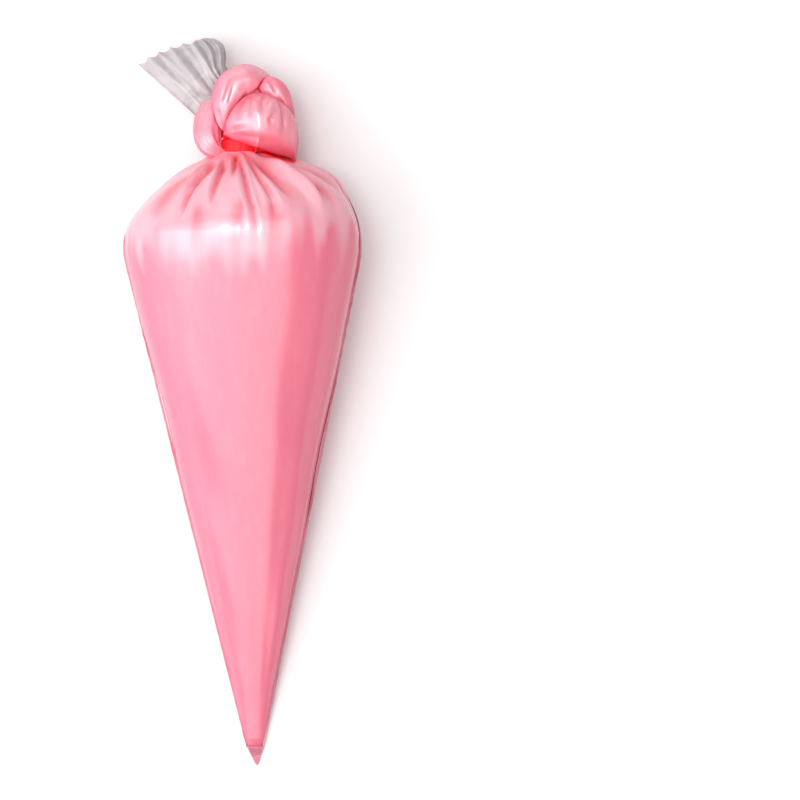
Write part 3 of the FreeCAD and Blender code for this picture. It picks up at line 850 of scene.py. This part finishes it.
def makeStrand(name, paths):
    # a round rope along its path, flattened where it meets the other ropes: the surface stops
    # where a point is as near to another rope as to its own, each counted in its own thickness
    spec = strands[name]
    centre, normal, side, thick, share = paths[name]
    turn = np.linspace(0, 2 * math.pi, knot["columns"], endpoint=False)
    direction = normal[:, None] * np.cos(turn)[:, None] + side[:, None] * np.sin(turn)[:, None]
    unpressed = [name] + spec.get("over", [])
    pressing = [path for other, path in paths.items() if other not in unpressed]
    low = np.zeros((len(centre), len(turn)))
    high = np.ones_like(low)
    for _ in range(9):  # halving finds where the two nearnesses are equal
        middle = (low + high) / 2
        points = centre[:, None] + direction * (middle * thick[:, None])[..., None]
        others = np.min([nearness(points, path[0], path[3]) for path in pressing], 0)
        free = others > middle
        low = np.where(free, middle, low)
        high = np.where(free, high, middle)
    reach = low
    for _ in range(8):  # passes of averaging round off the places where a third rope comes in
        beside = np.roll(reach, 1, 1) + np.roll(reach, -1, 1)
        beside += np.vstack([reach[:1], reach[:-1]]) + np.vstack([reach[1:], reach[-1:]])
        reach = 0.5 * reach + 0.125 * beside
    # how near another rope is, from 0 to 1; it also places painted shade where ropes meet
    crease = np.clip((1 - reach) * 2.2, 0, 1)
    rounding = knot["rounding"] / np.maximum(thick[:, None], 1 * mm)
    soft = 1 - 0.5 * rounding * np.exp(-(1 - reach) / rounding)
    radius = reach * soft
    along = share[:, None]
    phase = turn[None, :] + 0.35 * np.sin(5 * along) + 0.2 * np.sin(11 * along + 1)
    fold = waves(np.cos(phase) * spec["wrinkles"] + np.sin(phase) * 2, 31 + len(name), 6, 0.4, 1.3)
    across = np.sin(phase) * spec["wrinkles"] - np.cos(phase) * 2 + 3 * along
    fold += 0.6 * waves(across, 57, 4, 0.7, 1.3)
    strength = 0.45 + 0.55 * (2 * along - 1) ** 2
    size = radius * thick[:, None] + spec["depth"] * mm * fold * strength * (1 - 0.6 * crease)
    points = centre[:, None] + direction * np.maximum(size, 0.05 * mm)[..., None]
    outward = -gridNormals(points, True)  # the columns go round the other way here
    drawn, shade = drawnFolds(points, knotFolds, neckPlace[:2])
    upper = easing(0.1, 0.5, outward[..., 2]) * (1 - crease)
    points = points - outward * (drawn * upper)[..., None]
    points[..., 2] = knot["rest"] + softAbove(points[..., 2] - knot["rest"], 0.6 * mm)
    low = shadowUnderKnot(points, knot["redReach"])
    patchy = 0.8 + 0.4 * waves(3 * np.cos(phase) + 2 * np.sin(phase) + 4 * along, 63, 4, 0.5, 1.5)
    # painted shade and highlight: less haze near the shoulder under the front bulge, more on the drawn
    # ridges, patchy at random
    haze = spec["haze"] * (1 - low) * (1 - np.minimum(shade, 0)) * patchy
    # painted shade: red where ropes meet, in valleys on top, near the shoulder and on the shadow line
    # under the knot
    crease = 0.7 * easing(0.2, 0.95, crease) + 0.25 * np.maximum(shade, 0) * upper
    crease = np.clip(crease + 0.22 * low + 0.9 * shadowUnderKnot(points, knot["redLine"]), 0, 1)
    return meshPiece(name, points, closed=True, startCap=True, endCap=True, flip=True,
                     crease=crease, haze=np.clip(haze, 0, 1))


knotPaths = {
    name: strandPath(spec["path"], knot["samples"], spec.get("passes", knot["passes"]))
    for name, spec in strands.items()
}
corePaths = [
    strandPath([(-3, 2, -2, 3), (-1, 6, 0, 9), (2, 9, 1, 10), (6, 10, 1, 9), (9, 8, 0, 4)], 60),
    strandPath([(-4, 2, 0, 2), (0, 2, 0, 7), (7, 1, 0, 8.5), (14, -0.5, -1, 7.5), (19, -3, -2, 3)], 60),
]


def makeKnotCore(name, path):
    # gathered film in the middle of the knot, which fills what the other ropes leave open, painted deep
    # red as shade
    centre, normal, side, thick, _ = path
    turn = np.linspace(0, 2 * math.pi, 90, endpoint=False)
    direction = normal[:, None] * np.cos(turn)[:, None] + side[:, None] * np.sin(turn)[:, None]
    size = thick[:, None] + 0.4 * mm * waves(turn[None, :] * 9, 61, 5, 0.5, 1.4)
    points = centre[:, None] + direction * np.maximum(size, 0.05 * mm)[..., None]
    # painted shade: red all over, reddest near the shoulder under the knot
    crease = 0.45 + 0.5 * shadowUnderKnot(points, 12 * mm)
    return meshPiece(name, points, closed=True, startCap=True, endCap=True, flip=True,
                     crease=crease, haze=0.0)


for coreName, corePath, coreNodes in zip(("knotCore", "knotFoot"), corePaths, (["knot_icing"], [])):
    core = makeKnotCore(coreName, corePath)
    finishPiece(core, knotMaterial, "film_over_icing", "knot", *coreNodes)
knotNodes = {
    "knotLeft": ["knot_wrap_film"],
    "knotTop": ["knot_top_film"],
    "knotRight": [],
    "knotFront": ["knot_front_film"],
}
for strandName, cadNodes in knotNodes.items():
    rope = makeStrand(strandName, knotPaths)
    finishPiece(rope, knotMaterial, "film_over_icing", "knot", *cadNodes)
print("knot made")

tail = {
    "rows": 100,
    "columns": 460,
    "rootBack": 7 * mm,  # how far the film is followed back into the knot
    "rootHalfWidth": 9.6 * mm,
    "rootShift": 0.6 * mm,
    "mouthLeft": (-10.4, 25.2),  # the mouth's corners from the root's middle, across and along, in mm
    "mouthRight": (16.6, 11.6),
    "layerGap": 1.3 * mm,
    "rootFold": 0.8 * mm,
    "mouthFold": 1.9 * mm,
    "scallop": 1.4 * mm,
    "scallops": 6.2,
    "mouthBulge": 2.2 * mm,
    "rightBulge": 2.4 * mm,
    "crown": 2.2 * mm,  # how far the middle arches up
    "layerWave": 0.7 * mm,
    "droop": 8.0,  # degrees
    "wall": 0.12 * mm,
    "flat": (0.060, 0.030),  # the tube slit open: round its mouth, then along it
    "turn": math.degrees(math.atan2(tailAxis[1], tailAxis[0])),
}
# each fold of the tail: its place across the tail from -1 to 1, its half width and its height
tailFolds = [
    (-0.93, 0.10, 0.5),
    (-0.66, 0.24, 1.0),
    (-0.30, 0.10, 0.5),
    (-0.06, 0.20, 1.1),
    (0.30, 0.12, 0.7),
    (0.50, 0.09, 1.2),
    (0.69, 0.07, 1.0),
    (0.86, 0.08, 1.3),
]


def makeTail():
    # a flattened tube that fans out from the knot: each place across it follows a straight line
    # from the root to the mouth, the right edge bulging a little, both layers rise over the same
    # folds, and the mouth's edge sags in arcs on the left and is longer between the folds
    share = np.linspace(0, 1, tail["rows"])[:, None]
    turn = np.linspace(0, 2 * math.pi, tail["columns"], endpoint=False)[None, :]
    across = np.cos(turn)
    left, right = np.array(tail["mouthLeft"]) * mm, np.array(tail["mouthRight"]) * mm
    toRight = (1 + across) / 2
    mouthX = left[0] + (right[0] - left[0]) * toRight
    mouthY = left[1] + (right[1] - left[1]) * toRight + tail["mouthBulge"] * (1 - across**2)
    wave = sum(
        height * np.exp(-(((across + 0.03 * np.sin(4 * share + 9 * place) - place) / wide) ** 2))
        for place, wide, height in tailFolds
    )
    scallop = ((across + 1) * tail["scallops"] / 2) % 1.0  # each is an arc that sags between two points
    sagging = (1 - (2 * scallop - 1) ** 2) * (1 - easing(0.5, 0.7, across))
    mouthY = mouthY - tail["scallop"] * sagging
    mouthY = mouthY + 0.5 * mm * (1.1 - wave) + 0.2 * mm * waves(across * 16, 43, 4, 0.5, 1.5)
    rootX = tail["rootShift"] + tail["rootHalfWidth"] * across
    x = rootX + (mouthX - rootX) * np.maximum(share - 0.12, 0) / 0.88
    outer = np.sin(math.pi * np.clip((share - 0.45) / 0.55, 0, 1))
    x = x + tail["rightBulge"] * easing(0.2, 1.0, across) * outer
    y = -tail["rootBack"] + (mouthY + tail["rootBack"]) * share
    foldHeight = tail["rootFold"] + (tail["mouthFold"] - tail["rootFold"]) * share
    gap = tail["layerGap"] * (0.5 + 0.9 * share) * np.sin(turn)
    z = (wave - 0.5) * foldHeight + gap
    z = z + tail["layerWave"] * waves(turn * 4 + 4 * share, 41, 4, 0.5, 1.5) * share
    z = z + tail["crown"] * np.sin(share * math.pi) * (1 - across**2)
    turned, droop = math.radians(tail["turn"]), math.radians(tail["droop"])
    fromRoot = y * math.cos(droop) + z * math.sin(droop)
    up = z * math.cos(droop) - y * math.sin(droop)
    px = tailPlace[0] + x * math.cos(turned) - fromRoot * math.sin(turned)
    py = tailPlace[1] + x * math.sin(turned) + fromRoot * math.cos(turned)
    points = np.stack([px, py, tailPlace[2] + up], -1)
    # painted shade: darker in the folds' valleys, along the right side and near the root in the knot
    valley = easing(0.15, 0.9, 1 - wave) * 0.5
    side = easing(0.5, 0.95, across) * 0.4
    crease = np.clip(0.8 * valley + side + 0.35 * (1 - easing(0.15, 0.5, share)), 0, 1)
    rim = np.maximum(easing(0.985, 1.0, share), easing(0.992, 1.0, np.abs(across)) * 0.6)
    made = meshPiece("tailFilm", points, closed=True, crease=crease, rim=rim)
    applyThickness(made, tail["wall"])
    cadNodes = "tail_root_film", "tail_front_film", "tail_back_film"
    finishPiece(made, tailMaterial, "clear_film", None, *cadNodes)
    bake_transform(made)
    return made


tailFilm = makeTail()
print("tail made")

# table, camera and lights
stage = {
    "centre": (0.059, -0.062),
    "scaleHeight": 0.022,  # the height at which the view is 300 mm wide
    "distance": 1.8,
    "lens": 216,
    "table": (0.93, 0.93, 0.93, 1),
    "tableHalfSide": 3.0,
    "sky": 0.11,
}

floorCorners = np.array([[(-1, -1, 0), (1, -1, 0)], [(-1, 1, 0), (1, 1, 0)]], float)
floor = meshPiece("tableTop", floorCorners * stage["tableHalfSide"])
floorMaterial, _, floorShader = newMaterial("tableTop")
floorShader.inputs["Base Color"].default_value = stage["table"]
floorShader.inputs["Roughness"].default_value = 0.8
floor.data.materials.append(floorMaterial)


def areaLight(name, place, aim, size, power):
    # a soft panel that faces its aim
    light = bpy.data.lights.new(name, "AREA")
    light.shape = "RECTANGLE"
    light.size, light.size_y = size
    light.energy = power
    lamp = bpy.data.objects.new(name, light)
    bpy.context.scene.collection.objects.link(lamp)
    lamp.location = place
    lamp.rotation_euler = (Vector(aim) - Vector(place)).to_track_quat("-Z", "Y").to_euler()
    lamp.visible_camera = False


areaLight("keyLight", (-0.45, -0.4, 1.35), (-0.25, -0.4, 0), (2.4, 3.4), 36)
areaLight("sideLight", (-1.1, -0.3, 0.55), (0, -0.1, 0.03), (0.9, 2.4), 11)
areaLight("backLight", (-0.2, 1.7, 0.5), (0, 0.02, 0.03), (0.9, 1.8), 6)
areaLight("topLight", (-0.18, 0.10, 1.15), (0, 0, 0.03), (0.40, 0.42), 3.4)

world = bpy.data.worlds.new("studio")
world.use_nodes = True
world.node_tree.nodes["Background"].inputs["Color"].default_value = (1, 1, 1, 1)
world.node_tree.nodes["Background"].inputs["Strength"].default_value = stage["sky"]
bpy.context.scene.world = world

cameraData = bpy.data.cameras.new("camera")
cameraData.lens = stage["lens"]
cameraData.clip_start = 0.01
camera = bpy.data.objects.new("camera", cameraData)
camera.location = (*stage["centre"], stage["scaleHeight"] + stage["distance"])
bpy.context.scene.collection.objects.link(camera)
bpy.context.scene.camera = camera
bpy.context.scene.view_settings.view_transform = "Standard"
print("stage set")
